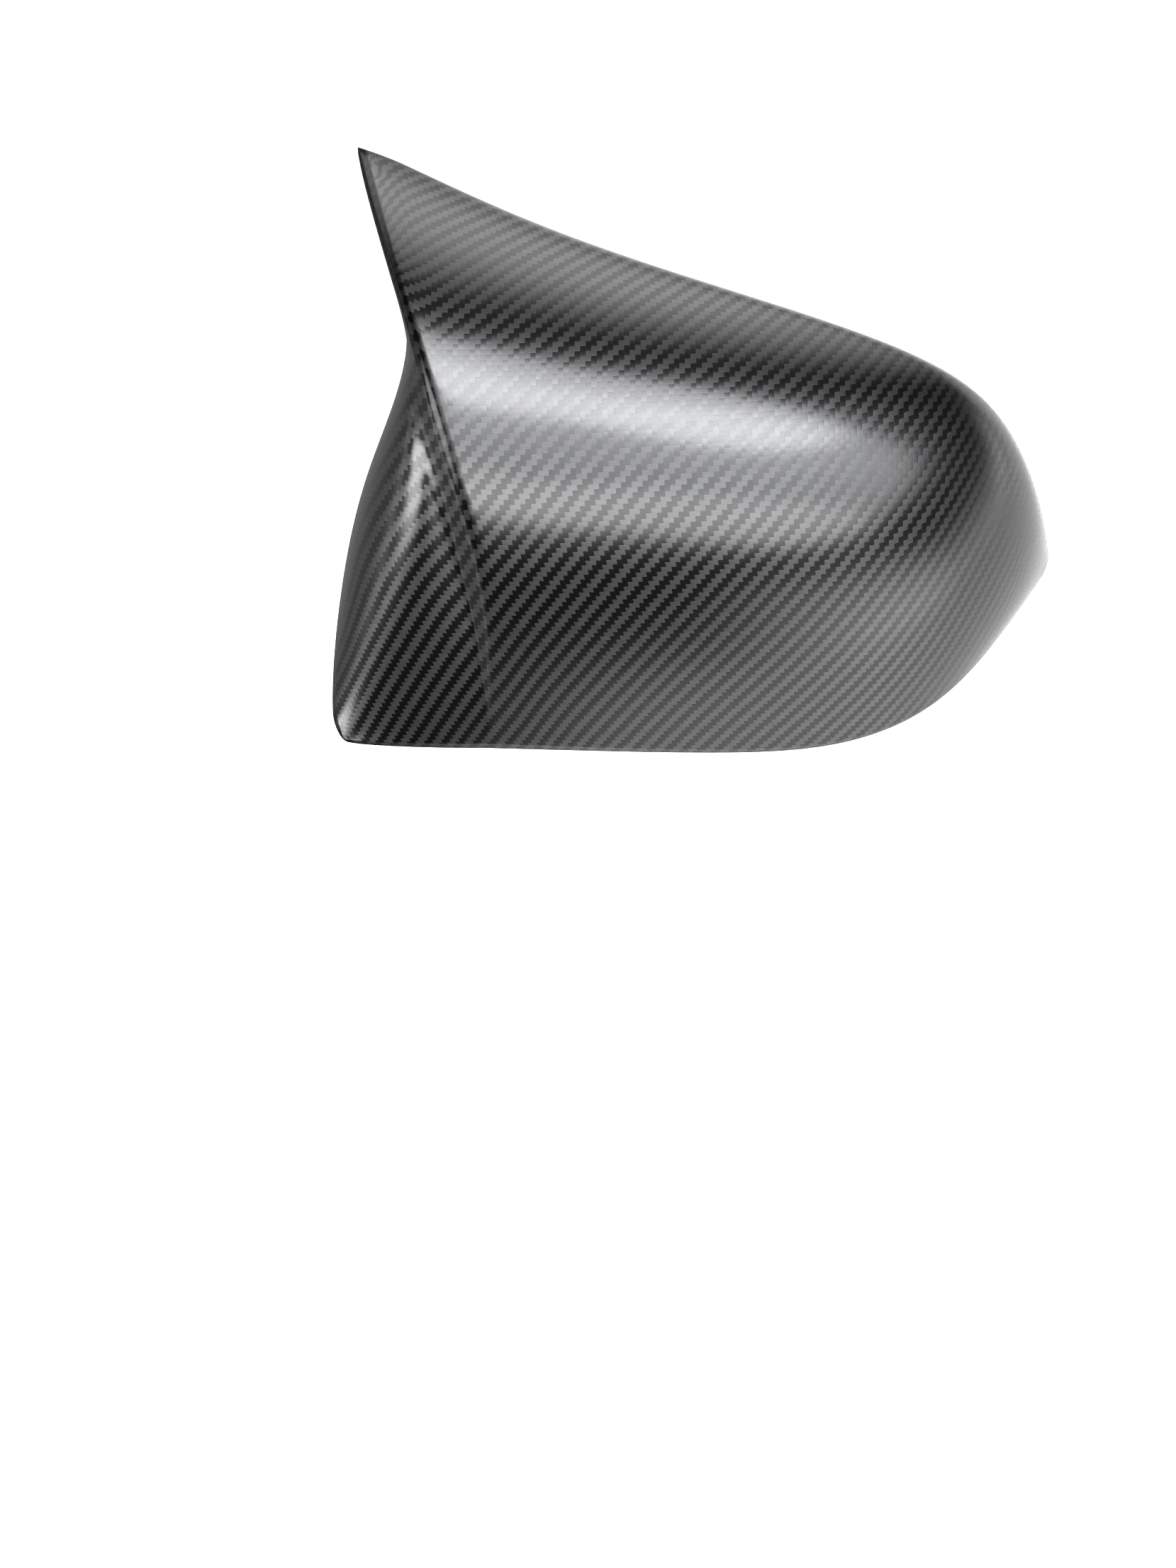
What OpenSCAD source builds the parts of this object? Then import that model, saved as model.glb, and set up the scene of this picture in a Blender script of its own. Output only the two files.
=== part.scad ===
// Left-hand wing mirror cover with an inboard horn, one moulded carbon fibre shell.
// It lies on its rim as it would on a table: X points outboard, Y to the roof of the
// car and Z to the front of the car. The origin is under the middle of the outline.

/* [Body] */
// From the foot of the ridge to the outboard corner
body_reach = 206; // [190:1:222]
// Height of the outboard corner above the bottom edge
corner_height = 69; // [60:1:76]
// Depth of the body, from its rim to the control line of the belly
belly_depth = 58; // [50:1:64]
// Depth of the body, from its rim to the control line of the crown
crown_depth = 108; // [98:1:116]
// Depth of the long top side under the fold
side_depth = 64; // [56:1:70]
// Lean of the top side wall, from its fold out to its rim
side_lean = 7; // [5:0.5:10]

/* [Horn] */
// Height of the horn's tip above the bottom edge
horn_rise = 189; // [178:1:198]
// How far the tip leans inboard of the foot of the ridge
horn_lean = 34; // [28:1:42]
// Depth of the tip above the table
horn_depth = 60; // [54:1:66]
// Depth of the folded return at the tip
horn_return = 16; // [12:1:22]

/* [Inboard panel] */
// Width of the panel along the bottom edge
panel_width = 59; // [50:1:66]
// Drop from the ridge to the panel, where it is deepest
ridge_drop = 8; // [4:0.5:10]
// Width of the ridge's flank in plan, where it is widest
ridge_flank = 8; // [6:0.5:10]
// Rounding of the panel's lower corner
corner_round = 4; // [2:0.5:5]

/* [Shell] */
// Thickness of the laminate
wall = 1.5; // [1:0.1:2]
// Rounding of the fold along the top side
fold_round = 4; // [3:0.5:5]
// Rounding of the horn's edge and of the ridge
ridge_round = 4.4; // [3.8:0.2:5]

/* [Hidden] */

// Numbers of steps: along the body, up the face, and from the ridge to the inboard rim
body_steps = 38;
face_steps = 30;
side_steps = 18;
round_steps = 5;
foot_steps = 4;
all_steps = side_steps + body_steps;

// Guide lines of the face, each from the ridge to the outboard corner. Both the
// bottom edge and the rim lie in the plane of the table.
bottom_line = [[0, 1, 0], [36, 0, 0], [81, -1, 0], [128, 0, 0], [body_reach - 40, 15, 0],
    [body_reach - 15, corner_height - 23, 0], [body_reach - 2.6, corner_height - 4.5, 0]];
belly_line = [[12, 70, belly_depth + 11], [22, 56, belly_depth], [68, 51, belly_depth],
    [118, 46, belly_depth - 2], [body_reach - 43, 36, belly_depth - 28],
    [body_reach - 15, corner_height - 18, belly_depth - 42],
    [body_reach - 1, corner_height - 1.5, 0]];
crown_line = [[-9, 98, crown_depth + 4], [16, 92, crown_depth + 1], [70, 80, crown_depth],
    [118, 78, crown_depth - 14], [body_reach - 41, 90, crown_depth - 34],
    [body_reach - 14, corner_height + 10, crown_depth - 68],
    [body_reach + 0.3, corner_height + 1.5, 0]];
top_line = [[-horn_lean, horn_rise, horn_depth], [16, horn_rise - 23, side_depth - 7],
    [71, horn_rise - 44.5, side_depth], [121, horn_rise - 61, side_depth + 2],
    [body_reach - 43, corner_height + 43.5, side_depth - 3],
    [body_reach - 19, corner_height + 24, side_depth - 28],
    [body_reach - 0.3, corner_height + 6, 0]];
rim_line = [[-horn_lean - 2, horn_rise + 5, horn_depth - horn_return],
    [19, horn_rise - 20 + side_lean, 14], [73, horn_rise - 41 + side_lean, -4],
    [124, horn_rise - 58 + side_lean, 0],
    [body_reach - 39 + side_lean / 3, corner_height + 48 + side_lean, 0],
    [body_reach - 16 + side_lean / 3, corner_height + 32, 0],
    [body_reach - 2, corner_height + 15, 0]];

// Guide lines of the inboard panel, each from the bottom edge up to the horn's tip
shoulder_line = [[-0.3 * panel_width, 1, 0], [-22, 38, belly_depth - 24],
    [-24, 72, belly_depth + 4], [-23, 106, belly_depth + 12], [-17, 141, belly_depth],
    [-horn_lean - 2, horn_rise + 4, horn_depth - 0.8 * horn_return]];
roll_line = [[-panel_width + 11, 1.6, 0], [-panel_width + 12, 39, belly_depth - 28],
    [-panel_width + 16, 75, belly_depth - 8], [-34, 107, belly_depth - 12], [-18, 143, 40],
    [-horn_lean - 2, horn_rise + 4.5, horn_depth - 0.9 * horn_return]];
inboard_line = [[-panel_width + 1, 3.5, 0], [-panel_width, 30, 0], [-panel_width + 6, 78, 0],
    [-panel_width + 16, 112, -3], [-18.5, 146, 12],
    [-horn_lean - 2, horn_rise + 5, horn_depth - horn_return]];

function mix(a, b, t) = a * (1 - t) + b * t;
function ease(t) = let(c = max(0, min(1, t))) c * c * (3 - 2 * c);
function unit(v) = v / norm(v);

// A smooth line drawn towards its points: it starts at the first and ends at the last
function smooth_line(points, t) =
    let(n = len(points) - 1,
        more = concat([2 * points[0] - points[1]], points, [2 * points[n] - points[n - 1]]),
        k = min(n - 1, floor(t * n)), u = t * n - k)
    ((1 - u) ^ 3 * more[k] + (3 * u ^ 3 - 6 * u ^ 2 + 4) * more[k + 1]
        + (-3 * u ^ 3 + 3 * u ^ 2 + 3 * u + 1) * more[k + 2] + u ^ 3 * more[k + 3]) / 6;

// A curve between two points with two handles
function handle_curve(a, b, c, d, t) =
    (1 - t) ^ 3 * a + 3 * (1 - t) ^ 2 * t * b + 3 * (1 - t) * t ^ 2 * c + t ^ 3 * d;

// Rounds the corner between two straight runs, size away from it on each
function corner_curve(corner, from, to, size, t) =
    let(a = corner + size * unit(from - corner), b = corner + size * unit(to - corner))
    handle_curve(a, mix(a, corner, 0.6), mix(b, corner, 0.6), b, t);

// The face: s runs from the ridge to the outboard corner, v from the bottom to the top
function face_point(s, v) = handle_curve(smooth_line(bottom_line, s), smooth_line(belly_line, s),
    smooth_line(crown_line, s), smooth_line(top_line, s), v);
function body_share(i) = i / body_steps;
// Steps up the face lie closer together towards the bottom and the top
function face_share(j) = let(t = j / face_steps) 0.5 * t + 0.25 * (1 - cos(180 * t));

// One line down the long top side: the fold, then the wall to its rim
function side_profile(i) =
    let(s = body_share(i), start = face_point(s, 1), before = face_point(s, 0.98),
        low = smooth_line(rim_line, s), rim = [low.x, low.y, max(0, low.z)],
        size = min(fold_round, 0.35 * norm(rim - start)),
        corner = start + size * unit(start - before),
        wall_top = corner + size * unit(rim - corner))
    concat([for (k = [1:round_steps]) corner_curve(corner, start, rim, size, k / round_steps)],
        [for (k = [1:side_steps - round_steps]) mix(wall_top, rim, k / (side_steps - round_steps))]);

// One line from the ridge over the panel to the inboard rim: the crest, the flank of
// the ridge, its foot and the roll of the panel down to the rim
function panel_profile(j) =
    let(v = face_share(j), crest = face_point(0, v), beside = face_point(0.01, v),
        rise = ease(v / 0.35), under = ease((v - 0.5) / 0.25), tip = max(0, (v - 0.9) / 0.1) ^ 2,
        low = smooth_line(inboard_line, v), turn = corner_round * max(0, 1 - v / 0.08) ^ 2,
        rim = [low.x + turn, low.y, max(0, low.z)],
        shoulder = smooth_line(shoulder_line, v), roll = smooth_line(roll_line, v),
        drop = [-mix(1 + (ridge_flank - 3) * rise, 1.5, under), 0, -ridge_drop * rise],
        flank = mix(drop, 0.6 * (shoulder - crest), tip),
        size = min(ridge_round * mix(0.4, 1, ease((v - 0.2) / 0.35)), 0.49 * norm(flank)),
        corner = crest + size * unit(crest - beside), foot = corner + flank,
        panel_start = foot + size * unit(shoulder - foot),
        panel_steps = side_steps - round_steps - foot_steps)
    concat([for (k = [1:round_steps]) corner_curve(corner, crest, foot, size, k / round_steps)],
        [for (k = [1:foot_steps]) corner_curve(foot, corner, shoulder, size, k / foot_steps)],
        [for (k = [1:panel_steps]) handle_curve(panel_start, shoulder, roll, rim, k / panel_steps)]);

// Outer skin as columns of points, from the inboard rim over the ridge to the corner.
// A column of the face goes on down the long top side.
panel_rows = [for (j = [0:face_steps]) panel_profile(j)];
side_columns = [for (i = [1:body_steps]) side_profile(i)];
skin = [for (i = [0:all_steps])
    i < side_steps ? [for (j = [0:face_steps]) panel_rows[j][side_steps - 1 - i]]
    : i == side_steps ? [for (j = [0:face_steps]) face_point(0, face_share(j))]
    : concat([for (j = [0:face_steps]) face_point(body_share(i - side_steps), face_share(j))],
        side_columns[i - side_steps - 1])];

// A point of the skin, also across the upright edge under the horn's tip, where the
// top side and the inboard side meet
function skin_point(i, j) =
    j <= face_steps ? skin[i][j]
    : i > side_steps ? skin[i][j]
    : i == side_steps ? skin[side_steps - (j - face_steps)][face_steps]
    : skin[side_steps + 1][face_steps + side_steps - i];

// The outward direction of the pane above and beside a point
function pane_normal(i, j) =
    unit(cross(skin_point(i + 1, j + 1) - skin_point(i, j), skin_point(i, j + 1) - skin_point(i + 1, j)));

// Where each point of the skin stands in the list of corners
function corner_id(i, j) =
    i < side_steps || j <= face_steps && i == side_steps ? i * (face_steps + 1) + j
    : i == side_steps ? corner_id(side_steps - (j - face_steps), face_steps)
    : (side_steps + 1) * (face_steps + 1) + (i - side_steps - 1) * (face_steps + 1 + side_steps) + j;

// Panes of the skin, four corners each
panes = [for (i = [0:all_steps - 1], j = [0:face_steps - 1 + (i < side_steps ? 0 : side_steps)])
    [corner_id(i, j), corner_id(i + 1, j), corner_id(i + 1, j + 1), corner_id(i, j + 1)]];

// The rim, once round: inboard, top side, outboard and bottom edge
rim_loop = concat([for (j = [0:face_steps - 1]) [0, j]],
    [for (i = [side_steps:all_steps]) [i, face_steps + side_steps]],
    [for (j = [face_steps + side_steps - 1:-1:0]) [all_steps, j]],
    [for (i = [all_steps - 1:-1:1]) [i, 0]]);

function total(list, k = 0) = k < len(list) ? list[k] + total(list, k + 1) : [0, 0, 0];

// The inner skin lies one wall inside the panes of the outer one. Near the rim it is
// moved level, so that the cut edge stays flat.
function inner_point(i, j) =
    let(around = [for (a = [max(0, i - 1):min(all_steps - 1, i)],
            b = [max(0, j - 1):min(face_steps + side_steps - 1, j)])
            if (a != side_steps - 1 || b != face_steps) pane_normal(a, b)],
        sum = total(around), n = unit(sum), depth = wall * min(2.5, len(around) / norm(sum)),
        p = skin[i][j], sink = depth * n.z * min(1, p.z / (2 * wall)), level = norm([n.x, n.y]),
        shift = level < 0.01 ? 0 : min(2.5 * wall, (depth - n.z * sink) / level))
    [p.x - shift * n.x / level, p.y - shift * n.y / level, p.z - sink];

module cover_shell() {
    outer = [for (column = skin) each column];
    inner = [for (i = [0:all_steps], j = [0:len(skin[i]) - 1]) inner_point(i, j)];
    count = len(outer);
    lows = [for (axis = [0:1]) min([for (p = outer) p[axis]])];
    highs = [for (axis = [0:1]) max([for (p = outer) p[axis]])];
    rim_ids = [for (place = rim_loop) corner_id(place[0], place[1])];
    rim_count = len(rim_ids);
    // Triangles of the rim, the outer skin and the inner skin, clockwise from outside
    faces = concat([for (k = [0:rim_count - 1])
            let(a = rim_ids[k], b = rim_ids[(k + 1) % rim_count])
            each [[b, a, b + count], [b + count, a, a + count]]],
        [for (q = panes) each [[q[2], q[1], q[0]], [q[3], q[2], q[0]]]],
        [for (q = panes) let(r = q + count * [1, 1, 1, 1]) each [[r[0], r[1], r[2]], [r[0], r[2], r[3]]]]);
    color([0.16, 0.17, 0.18])
        translate([-(lows[0] + highs[0]) / 2, -(lows[1] + highs[1]) / 2, 0])
            polyhedron(concat(outer, inner), faces);
}

cover_shell();
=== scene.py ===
import math
import bpy
import bmesh
import numpy as np
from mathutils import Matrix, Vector
from mathutils.bvhtree import BVHTree


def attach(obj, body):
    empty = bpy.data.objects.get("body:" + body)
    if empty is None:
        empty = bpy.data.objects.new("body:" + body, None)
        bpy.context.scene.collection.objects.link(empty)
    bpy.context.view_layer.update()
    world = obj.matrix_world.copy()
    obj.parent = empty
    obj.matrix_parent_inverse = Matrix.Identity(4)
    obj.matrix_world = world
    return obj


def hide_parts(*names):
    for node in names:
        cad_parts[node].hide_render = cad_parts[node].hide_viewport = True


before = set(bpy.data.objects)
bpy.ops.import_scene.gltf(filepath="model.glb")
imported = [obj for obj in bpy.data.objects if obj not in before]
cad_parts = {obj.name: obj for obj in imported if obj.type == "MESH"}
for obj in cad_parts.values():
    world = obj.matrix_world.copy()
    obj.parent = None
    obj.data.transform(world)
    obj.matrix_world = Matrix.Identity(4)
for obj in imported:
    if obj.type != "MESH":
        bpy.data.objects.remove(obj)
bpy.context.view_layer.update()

# A left-hand wing mirror cover of carbon fibre twill, lying on its rim.
# Metres; X points outboard, Y to the roof of the car and Z up from the table.


# Helpers for shader nodes

class Link:
    # one output socket, which can be used in an expression
    def __init__(self, tree, socket):
        self.tree = tree
        self.socket = socket

    def math(self, operation, *values):
        node = self.tree.nodes.new("ShaderNodeMath")
        node.operation = operation
        for value, socket in zip(values, node.inputs):
            if isinstance(value, Link):
                self.tree.links.new(value.socket, socket)
            else:
                socket.default_value = value
        return Link(self.tree, node.outputs[0])

    def __add__(self, other):
        return self.math("ADD", self, other)

    def __radd__(self, other):
        return self.math("ADD", other, self)

    def __sub__(self, other):
        return self.math("SUBTRACT", self, other)

    def __rsub__(self, other):
        return self.math("SUBTRACT", other, self)

    def __mul__(self, other):
        return self.math("MULTIPLY", self, other)

    def __rmul__(self, other):
        return self.math("MULTIPLY", other, self)

    def __mod__(self, size):
        return self.math("FLOORED_MODULO", self, size)

    def __pow__(self, power):
        return self.math("POWER", self, power)

    def __lt__(self, limit):
        return self.math("LESS_THAN", self, limit)

    def __neg__(self):
        return self.math("MULTIPLY", self, -1.0)

    def __abs__(self):
        return self.math("ABSOLUTE", self)

    def __floor__(self):
        return self.math("FLOOR", self)

    def fract(self):
        return self.math("FRACT", self)


class Shader:
    # makes the nodes of one material or of the world
    def __init__(self, tree):
        self.tree = tree
        tree.nodes.clear()

    def node(self, kind, settings=None, **inputs):
        # an input is called by its name, or by an underscore and its number
        made = self.tree.nodes.new("ShaderNode" + kind)
        for name, value in (settings or {}).items():
            setattr(made, name, value)
        for name, value in inputs.items():
            socket = made.inputs[int(name[1:]) if name[0] == "_" else name.replace("_", " ")]
            if isinstance(value, Link):
                self.tree.links.new(value.socket, socket)
            else:
                socket.default_value = value
        return made

    def out(self, made, name=0):
        return Link(self.tree, made.outputs[name])

    def split(self, vector):
        parts = self.node("SeparateXYZ", _0=vector)
        return [self.out(parts, index) for index in range(3)]

    def mixColor(self, amount, first, second):
        return self.out(self.node("Mix", {"data_type": "RGBA"}, _0=amount, _6=first, _7=second), 2)

    def smooth(self, value, low, high):
        return self.out(self.node("MapRange", {"interpolation_type": "SMOOTHSTEP"},
                                  Value=value, From_Min=low, From_Max=high))

    def band(self, value, start, end, soft):
        # 1 from start to end, and 0 outside
        return (self.smooth(value, start - soft, start + soft)
                * (1.0 - self.smooth(value, end - soft, end + soft)))

    def finish(self, shader, kind="OutputMaterial"):
        self.node(kind, Surface=self.out(shader))


def newMaterial(name):
    material = bpy.data.materials.new(name)
    material.use_nodes = True
    return material, Shader(material.node_tree)


# The shell

shellLook = {
    "mergeWithin": 0.00001,      # corners of the solid's triangles closer than this are one
    "paneTurn": 50.0,            # two triangles that turn less than this, in degrees, are one pane
    "paneSkew": 70.0,
    "edgeAngle": 40.0,           # edges sharper than this stay crisp
    "edgeCrease": 0.7,
    "skinLevels": 1,             # subdivision of the smooth skin
}


def copyOfShell():
    # the solid's triangles, merged and joined to the panes that they were cut from
    mesh = bmesh.new()
    mesh.from_mesh(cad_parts["cover_shell"].data)
    bmesh.ops.remove_doubles(mesh, verts=mesh.verts, dist=shellLook["mergeWithin"])
    bmesh.ops.join_triangles(mesh, faces=mesh.faces,
                             angle_face_threshold=math.radians(shellLook["paneTurn"]),
                             angle_shape_threshold=math.radians(shellLook["paneSkew"]))
    crease = mesh.edges.layers.float.new("crease_edge")
    for edge in mesh.edges:
        if len(edge.link_faces) == 2 and edge.calc_face_angle(0.0) > math.radians(shellLook["edgeAngle"]):
            edge[crease] = shellLook["edgeCrease"]
    for face in mesh.faces:
        face.smooth = True
    print("the shell has", len(mesh.faces), "panes")
    return mesh


# How the cloth lies

# One tow, the spine, runs along the cover below its crown. The tows that cross it are the ribs:
# they run from the top side to the bottom edge and lean outboard below the crown. The lengths
# along spine and ribs, over the shell's own shape, are the cloth's coordinates.
# Millimetres, from the middle of the cover.
clothLay = {
    "towPitch": 1.667,           # 6 tows to the centimetre
    "spineY": -40.0,             # where the spine crosses the rib at spineX
    "spineX": -20.0,
    "spineSlope": 0.02,
    "spineLift": 0.66,           # slope that it gains from spineX to liftEnd
    "liftEnd": 95.0,
    "panelSlope": -0.10,         # slope that it gains on the inboard panel
    "panelStart": -60.0,
    "panelBlend": 25.0,
    "panelStep": 1.017,          # length of spine for each millimetre of panel
    "rollStart": -118.0,         # the panel rolls down to its rim from here
    "rollFrom": 1.10,            # how steep it is there
    "leanY": -5.0,               # the ribs start to lean here
    "leanTurn": 50.0,            # and have their whole lean after this much
    "lean": 0.44,
    "hornRibs": (-78.0, -60.0),  # inboard of the first the ribs go on as these two do
    "panelRibs": (-104.0, -92.0),
    "edgeY": [-10.0, 24.6, 60.0, 92.0],         # the horn's edge: Y, and X for each
    "edgeX": [-77.1, -87.3, -97.5, -107.9],
    "bridgeStart": -45.0,        # inboard of this the cloth bridges the ridge
    "bridgeBlend": 15.0,
    "bridgePasses": 100,
    "wallSlope": 2.2,            # steeper than this is the wall of the top side
    "foldRows": 4,               # rows of the grid that the fold takes
    "slopeRows": 6,              # rows over which the face's slope is taken
    "fewRows": 20,               # a column that meets fewer rows of the shell isn't used
    "gridX": (-136.0, 137.0),
    "gridY": (-101.0, 102.0),
    "ribRange": (-170.0, 141.0),
}


def running(steps):
    return np.concatenate([[0.0], np.cumsum(steps)])


def slant(*steps):
    # the length of each step from its parts
    return np.sqrt(sum(step ** 2 for step in steps))


def pick(grid, across, up):
    # the value of a grid with steps of one between its points
    across = np.clip(across, 0, grid.shape[0] - 1.001)
    up = np.clip(up, 0, grid.shape[1] - 1.001)
    i, j = across.astype(int), up.astype(int)
    s, t = across - i, up - j
    return ((1 - s) * ((1 - t) * grid[i, j] + t * grid[i, j + 1])
            + s * ((1 - t) * grid[i + 1, j] + t * grid[i + 1, j + 1]))


def heightGrid(mesh, xs, ys):
    # height of the shell over each point; past the outline the face goes on at its own slope
    tree = BVHTree.FromBMesh(mesh)
    heights = np.full((len(xs), len(ys)), np.nan)
    for i, x in enumerate(xs):
        for j, y in enumerate(ys):
            hit = tree.ray_cast(Vector((x / 1000, y / 1000, 0.2)), Vector((0, 0, -1)))[0]
            if hit is not None:
                heights[i, j] = hit.z * 1000
        found = np.flatnonzero(~np.isnan(heights[i]))
        if len(found) < clothLay["fewRows"]:
            heights[i] = np.nan
            continue
        heights[i] = np.interp(np.arange(len(ys)), found, heights[i, found])
        last = found[-1]
        while heights[i, last - 1] - heights[i, last] > clothLay["wallSlope"]:
            last -= 1
        last -= clothLay["foldRows"]
        fall = (heights[i, last - clothLay["slopeRows"]] - heights[i, last]) / clothLay["slopeRows"]
        heights[i, last:] = heights[i, last] - fall * np.arange(len(ys) - last)
    good = np.flatnonzero(~np.isnan(heights[:, 0]))
    for i in range(len(xs)):
        heights[i] = heights[good[np.argmin(abs(good - i))]]
    return heights


def bridged(heights, xs):
    # the cloth is laid as if the ridge were softer than it is
    soft = heights.copy()
    for turn in range(clothLay["bridgePasses"]):
        soft[1:-1] = (soft[:-2] + 2 * soft[1:-1] + soft[2:]) / 4
    inboard = np.clip((clothLay["bridgeStart"] - xs) / clothLay["bridgeBlend"], 0, 1)[:, None]
    return heights + inboard * (soft - heights)


def ribShift(y):
    # how far a rib has moved outboard at y
    below = np.clip(clothLay["leanY"] - y, 0, None)
    turn = clothLay["leanTurn"]
    return clothLay["lean"] * np.where(below < turn, below * below / (2 * turn), below - turn / 2)


def spineLine(ribs):
    # Y of the spine where it crosses each rib
    lift = np.clip((ribs - clothLay["spineX"]) / (clothLay["liftEnd"] - clothLay["spineX"]), 0, None) ** 2
    onPanel = np.clip((clothLay["panelStart"] - ribs) / clothLay["panelBlend"], 0, 1)
    slope = clothLay["spineSlope"] + clothLay["spineLift"] * lift + clothLay["panelSlope"] * onPanel
    line = running((slope[1:] + slope[:-1]) / 2)
    return line + clothLay["spineY"] - np.interp(clothLay["spineX"], ribs, line)


def panelRoll(heights, xs):
    # what the roll of the panel adds to the length of the rows
    steep = np.clip(np.sqrt(1 + np.gradient(heights, axis=0) ** 2) - clothLay["rollFrom"], 0, None)
    steep = steep * (xs < clothLay["rollStart"])[:, None]
    return np.cumsum(steep[::-1], axis=0)[::-1]


def layCloth(mesh):
    # the cloth's coordinates, in tows, for every corner of the mesh
    xs, ys = np.arange(*clothLay["gridX"]), np.arange(*clothLay["gridY"])
    ribs, rows = np.arange(*clothLay["ribRange"]), np.arange(ys[0], ys[-1] + 0.5, 0.5)
    shape = heightGrid(mesh, xs, ys)
    heights = bridged(shape, xs)
    spineY = spineLine(ribs)
    spineX = ribs + ribShift(spineY)
    spineZ = pick(heights, spineX - xs[0], spineY - ys[0])
    steps = slant(np.diff(spineX), np.diff(spineY), np.diff(spineZ))
    across = running(np.where(ribs[1:] < clothLay["panelStart"], clothLay["panelStep"], steps))
    along = np.zeros((len(ribs), len(rows)))
    for index, rib in enumerate(ribs):
        x = rib + ribShift(rows)
        z = pick(heights, x - xs[0], rows - ys[0])
        line = running(slant(np.diff(x), np.diff(rows), np.diff(z)))
        along[index] = line - np.interp(spineY[index], rows, line)

    mesh.verts.ensure_lookup_table()
    mesh.normal_update()
    x, y, z = np.array([vert.co for vert in mesh.verts]).T * 1000
    rib = x - ribShift(y)

    def down(rib):
        return pick(along, rib - ribs[0], (y - rows[0]) * 2)

    def downFrom(last, before):
        gain = (down(np.full(len(x), before)) - down(np.full(len(x), last))) / (before - last)
        return down(np.maximum(rib, last)) + np.minimum(rib - last, 0) * gain
    onHorn = (y > 0) & (x > np.interp(y, clothLay["edgeY"], clothLay["edgeX"]))
    u = np.interp(rib, ribs, across) - pick(panelRoll(heights, xs), x - xs[0], y - ys[0])
    v = np.where(onHorn, downFrom(*clothLay["hornRibs"]), downFrom(*clothLay["panelRibs"]))
    # on a wall the cloth goes on straight down
    outward = np.array([vert.normal.xy.normalized() for vert in mesh.verts])
    depth = np.clip(pick(shape, x - xs[0], y - ys[0]) - z, 0, None)
    u = (u + outward[:, 0] * depth) / clothLay["towPitch"]
    v = (v + outward[:, 1] * depth) / clothLay["towPitch"]

    # which way each corner faces, for the painted shade on slopes
    facing = mesh.verts.layers.float_vector.new("facing")
    cloth = mesh.loops.layers.uv.new("cloth")
    for vert in mesh.verts:
        vert[facing] = (vert.normal.x, abs(vert.normal.y), vert.normal.z)
        for loop in vert.link_loops:
            loop[cloth].uv = (u[vert.index], v[vert.index])
    print("the cloth is laid")


# Carbon fibre

carbonLook = {
    # the fibre's dark tone; the tows that run along the cover are lighter than those that run up it, a
    # painted sheen for how each kind catches the lamps
    "towAcross": (0.065, 0.066, 0.068, 1.0),
    "towUp": (0.049, 0.050, 0.053, 1.0),
    "acrossRoughness": 0.40,     # tows that run along the cover spread the light of the lamps
    "upRoughness": 0.21,         # tows that run up it only shine straight back
    "tiltRange": (0.20, 0.55),   # painted shade: on slopes the tows are darkened to these shares, fitted to the photo
    "acrossOutboard": 0.55,
    "upInboard": 0.45,
    "upTilted": 0.16,
    "edgeTint": (0.4, 0.4, 0.4, 1.0),
    "coatRoughness": 0.21,
    "crown": 0.00004,            # how far a tow rises where it passes over the others
    "crownRound": 2.0,
    "sideCrown": 0.25,           # and from its sides to its middle, as a share of that
    "sideRound": 4.0,
    "waver": 0.09,               # how far the tows stray sideways, in tows
    "waverScale": 0.30,
    "streaks": 0.30,             # how much the fibres within a tow differ in tone
    "streakLength": 0.9,
    "streakCount": 16.0,
    "towChange": 0.16,           # how much the tows differ from each other
    # the dark lip along the horn's edge, which is drawn here and not modelled: plain, without weave, and
    # darkened as a painted shade of the rounded edge
    "edgeAtZero": -0.0847,       # X of the edge's line at Y = 0, and its slope
    "edgeSlope": -0.288,
    "lipFrom": -0.0035,          # from that line
    "lipTo": 0.0032,
    "lipSoft": 0.0004,
    "lipFoot": (0.024, 0.040),   # Y from which it fades out down to the ridge
    "lipFacing": (0.0, 0.3),     # it is only on the upper face
    "lipShadeTone": (0.024, 0.025, 0.027, 1.0),
    "lipCoat": 0.35,
    # painted shade on the flank of the ridge below it, darkened because the real ridge is sharper than the
    # shell's
    "flankFrom": 0.0006,
    "flankTo": 0.0044,
    "flankSoft": 0.0006,
    "flankEnd": (-0.050, -0.015),
    "flankShade": 0.55,
}


def strayedCloth(make):
    # the cloth's coordinates, with tows that aren't quite straight
    cloth = make.out(make.node("UVMap", {"uv_map": "cloth"}))
    noise = make.node("TexNoise", {"noise_dimensions": "2D"}, Vector=cloth, Scale=carbonLook["waverScale"])
    strays = make.split(make.out(noise, "Color"))
    return [place + (stray - 0.5) * carbonLook["waver"] * 2.0
            for place, stray in zip(make.split(cloth)[:2], strays)]


def crownOf(part, roundness):
    return 1.0 - abs(part * 2.0 - 1.0) ** roundness


def towShine(make, along, side, acrossOnTop):
    # streaks along each tow, and a change from tow to tow
    grain = make.node("CombineXYZ", X=along * carbonLook["streakLength"], Y=side * carbonLook["streakCount"])
    streak = make.node("TexNoise", {"noise_dimensions": "2D"}, Vector=make.out(grain), Scale=1.0, Detail=1.0)
    number = make.node("CombineXYZ", X=math.floor(side), Y=acrossOnTop)
    change = make.node("TexWhiteNoise", {"noise_dimensions": "2D"}, Vector=make.out(number))
    return ((make.out(streak) - 0.5) * carbonLook["streaks"] * 2.0
            + (make.out(change) - 0.5) * carbonLook["towChange"] + 1.0)


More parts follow.
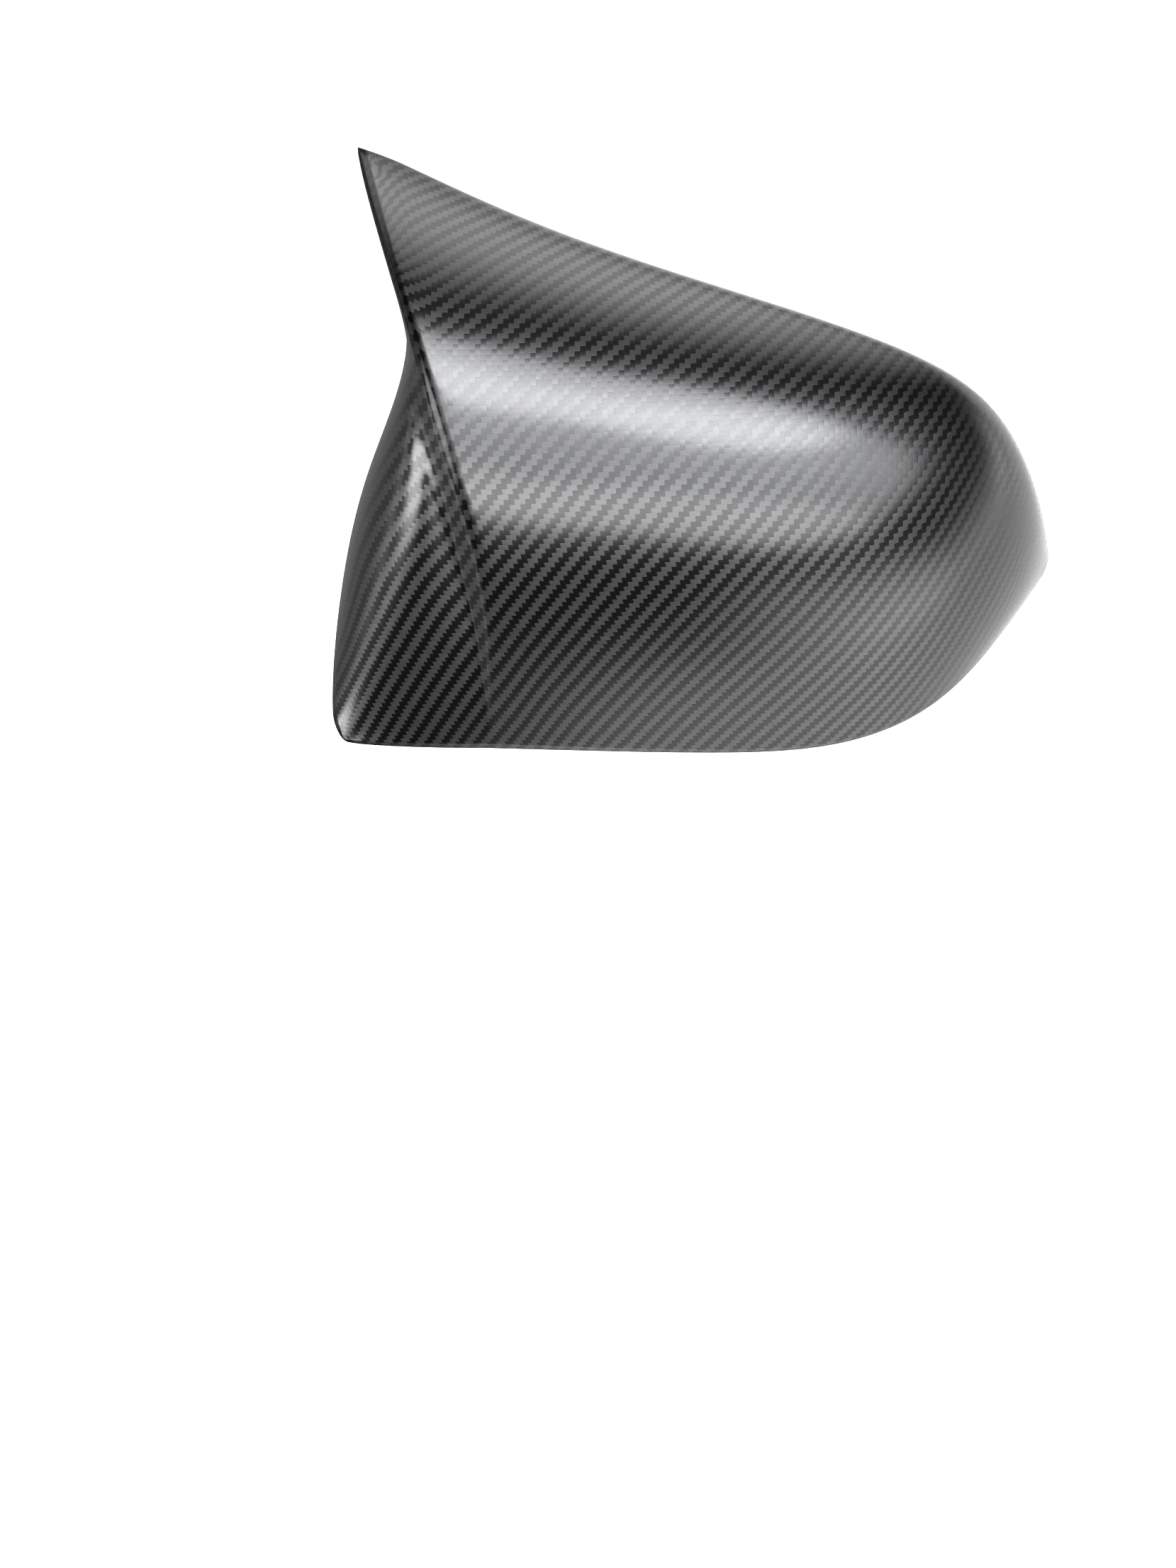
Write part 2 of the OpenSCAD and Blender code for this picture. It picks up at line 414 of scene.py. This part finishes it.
def carbonTwill():
    material, make = newMaterial("carbon twill")
    u, v = strayedCloth(make)
    # a twill: each tow goes over two and under two, one further on in each row
    acrossOnTop = (math.floor(u) - math.floor(v)) % 4.0 < 1.5
    acrossPlace = (u - math.floor(v)) % 4.0 * 0.5
    upPlace = ((math.floor(u) - v) % 4.0 - 1.0) * 0.5

    def choose(up, across):
        return up + (across - up) * acrossOnTop
    over = choose(crownOf(upPlace, carbonLook["crownRound"]), crownOf(acrossPlace, carbonLook["crownRound"]))
    side = choose(crownOf(u.fract(), carbonLook["sideRound"]), crownOf(v.fract(), carbonLook["sideRound"]))
    height = over + side * carbonLook["sideCrown"]

    # each tow's streaks and tone, times a painted shade that darkens it where the surface slopes
    facing = make.node("Attribute", {"attribute_name": "facing"})
    facesOut, facesSide, facesUp = make.split(make.out(facing, "Vector"))

    # painted shade: a tow darkened to the given share where the surface slopes
    def slopeShade(tilt, share):
        return make.smooth(tilt, *carbonLook["tiltRange"]) * (share - 1.0) + 1.0
    slopeShading = choose(slopeShade(-facesOut, carbonLook["upInboard"]) * slopeShade(facesSide, carbonLook["upTilted"]),
                    slopeShade(facesOut, carbonLook["acrossOutboard"]))
    streaksAndSlopeShade = towShine(make, choose(v, u), choose(u, v), acrossOnTop) * slopeShading
    tone = make.node("CombineXYZ", X=streaksAndSlopeShade, Y=streaksAndSlopeShade, Z=streaksAndSlopeShade)
    # the fibre's tone, with the painted sheen of the tows that run along the cover
    fibreToneAndSheen = make.mixColor(acrossOnTop, carbonLook["towUp"], carbonLook["towAcross"])
    color = make.out(make.node("VectorMath", {"operation": "MULTIPLY"}, _0=fibreToneAndSheen, _1=make.out(tone)))

    # painted shade: the dark lip of the horn's edge and the darkened flank of the ridge
    x, y = make.split(make.out(make.node("TexCoord"), "Object"))[:2]
    fromEdge = x - (y * carbonLook["edgeSlope"] + carbonLook["edgeAtZero"])
    onHorn = make.smooth(y, *carbonLook["lipFoot"])
    lip = (make.band(fromEdge, carbonLook["lipFrom"], carbonLook["lipTo"], carbonLook["lipSoft"])
           * onHorn * make.smooth(facesUp, *carbonLook["lipFacing"]))
    flank = (make.band(fromEdge, carbonLook["flankFrom"], carbonLook["flankTo"], carbonLook["flankSoft"])
             * make.smooth(y, *carbonLook["flankEnd"]) * (1.0 - onHorn) * carbonLook["flankShade"])
    color = make.mixColor(lip, color, carbonLook["lipShadeTone"])
    # the flank's painted shade, towards black
    color = make.mixColor(flank, color, (0.0, 0.0, 0.0, 1.0))

    roughness = choose(carbonLook["upRoughness"], carbonLook["acrossRoughness"])
    bump = make.node("Bump", Strength=1.0, Distance=carbonLook["crown"], Height=height * (1.0 - lip))
    skin = make.node("BsdfPrincipled", Base_Color=color, Metallic=1.0, Roughness=roughness,
                     Normal=make.out(bump), Specular_Tint=carbonLook["edgeTint"],
                     Coat_Weight=1.0 - lip * (1.0 - carbonLook["lipCoat"]) - flank,
                     Coat_Roughness=carbonLook["coatRoughness"])
    make.finish(skin)
    return material


def makeCover():
    shell = copyOfShell()
    layCloth(shell)
    mesh = bpy.data.meshes.new("cover_skin")
    shell.to_mesh(mesh)
    shell.free()
    mesh.materials.append(carbonTwill())
    cover = bpy.data.objects.new("cover_skin", mesh)
    bpy.context.collection.objects.link(cover)
    smoother = cover.modifiers.new("smooth skin", "SUBSURF")
    smoother.levels = smoother.render_levels = shellLook["skinLevels"]
    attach(cover, "root")
    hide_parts("cover_shell")
    print("the cover is dressed")


# Table, light and camera

roomLook = {
    "lamps": [                   # name, middle, size, aimed at, radiance
        ("overhead", (0.14, 0.21, 0.9), (0.86, 0.60), (0.14, 0.21, 0.0), 5.7),
        ("ceiling", (0.25, -0.62, 1.0), (2.00, 1.90), (0.25, -0.62, 0.0), 3.3),
        ("far side", (0.18, -1.02, 0.9), (1.70, 0.80), (0.18, -1.02, 0.0), 2.2),
        ("left side", (-0.90, -0.32, 0.44), (0.60, 0.50), (0.0, 0.0, 0.04), 9.0),
        ("left corner", (-0.375, -0.65, 0.60), (0.40, 0.22), (0.0, 0.0, 0.04), 3.0),
    ],
    "roomDark": 0.04,
    "glows": [                   # pale walls: direction, how wide, how high, radiance
        ((-0.20, 0.98), (0.55, 0.98), (0.66, 0.08), 3.0),
        ((0.50, -0.87), (0.86, 0.99), (0.45, 0.20), 1.9),
        ((0.95, -0.31), (0.50, 0.95), (0.30, 0.00), 2.4),
    ],
    "tableSize": 3.0,
    "tableTone": 0.8,
    "tableWhite": 0.5,           # light that only the camera sees, so that the table is white
    "mirroredTone": 0.72,        # the table as the cover mirrors it, darker than the camera sees it
    "inboardShadeTone": 0.10,         # and on its inboard side, darker still as a painted shade, where the photo's reflections are dark
    "inboardStart": (0.02, 0.13),
    "inboardEnd": (0.30, 0.60),
    "inboardBottom": (-0.40, -0.22),
}

cameraLook = {
    "place": (-0.0378, -0.1087, 0.431),
    "focalPixels": 1650.0,
    "imagePixels": 2212.0,       # height of the image
    "sensor": 36.0,
}


def lightTable():
    grid = bmesh.new()
    bmesh.ops.create_grid(grid, x_segments=1, y_segments=1, size=roomLook["tableSize"] / 2)
    mesh = bpy.data.meshes.new("table")
    grid.to_mesh(mesh)
    grid.free()
    table = bpy.data.objects.new("table", mesh)
    bpy.context.collection.objects.link(table)
    material, make = newMaterial("white table")
    seen = make.node("LightPath")
    x, y = make.split(make.out(make.node("TexCoord"), "Object"))[:2]
    # painted shade on the table's inboard side, which only the cover's reflections see
    inboardShade = (make.smooth(-x, *roomLook["inboardStart"]) * (1.0 - make.smooth(-x, *roomLook["inboardEnd"]))
            * make.smooth(y, *roomLook["inboardBottom"]))
    mirrored = inboardShade * (roomLook["inboardShadeTone"] - roomLook["mirroredTone"]) + roomLook["mirroredTone"]
    tone = make.out(seen, "Is Glossy Ray") * (mirrored - roomLook["tableTone"]) + roomLook["tableTone"]
    make.finish(make.node("BsdfPrincipled", Base_Color=tone, Roughness=0.8,
                          Emission_Color=make.out(seen, "Is Camera Ray"),
                          Emission_Strength=roomLook["tableWhite"]))
    mesh.materials.append(material)


def lightRoom():
    world = bpy.data.worlds.new("room")
    bpy.context.scene.world = world
    world.use_nodes = True
    make = Shader(world.node_tree)
    x, y, z = make.split(make.out(make.node("TexCoord"), "Generated"))
    bright = roomLook["roomDark"]
    for toward, wide, high, radiance in roomLook["glows"]:
        facing = make.smooth(x * toward[0] + y * toward[1], *wide)
        bright = facing * make.smooth(-z, -high[0], -high[1]) * radiance + bright
    camera = make.out(make.node("LightPath"), "Is Camera Ray")
    make.finish(make.node("Background", Color=bright * (1.0 - camera) + camera), "OutputWorld")
    for name, place, size, target, radiance in roomLook["lamps"]:
        lamp = bpy.data.lights.new(name, "AREA")
        lamp.shape = "ELLIPSE"
        lamp.size, lamp.size_y = size
        lamp.energy = math.pi ** 2 / 4 * size[0] * size[1] * radiance
        holder = bpy.data.objects.new(name, lamp)
        holder.location = place
        holder.rotation_euler = (Vector(target) - Vector(place)).to_track_quat("-Z", "Y").to_euler()
        bpy.context.collection.objects.link(holder)


def placeCamera():
    camera = bpy.data.cameras.new("camera")
    camera.sensor_fit = "VERTICAL"
    camera.sensor_height = cameraLook["sensor"]
    camera.lens = cameraLook["sensor"] * cameraLook["focalPixels"] / cameraLook["imagePixels"]
    camera.clip_start = 0.01
    holder = bpy.data.objects.new("camera", camera)
    holder.location = cameraLook["place"]
    bpy.context.collection.objects.link(holder)
    bpy.context.scene.camera = holder


bpy.context.scene.view_settings.view_transform = "Standard"
placeCamera()
lightTable()
lightRoom()
print("table, light and camera are set")
makeCover()
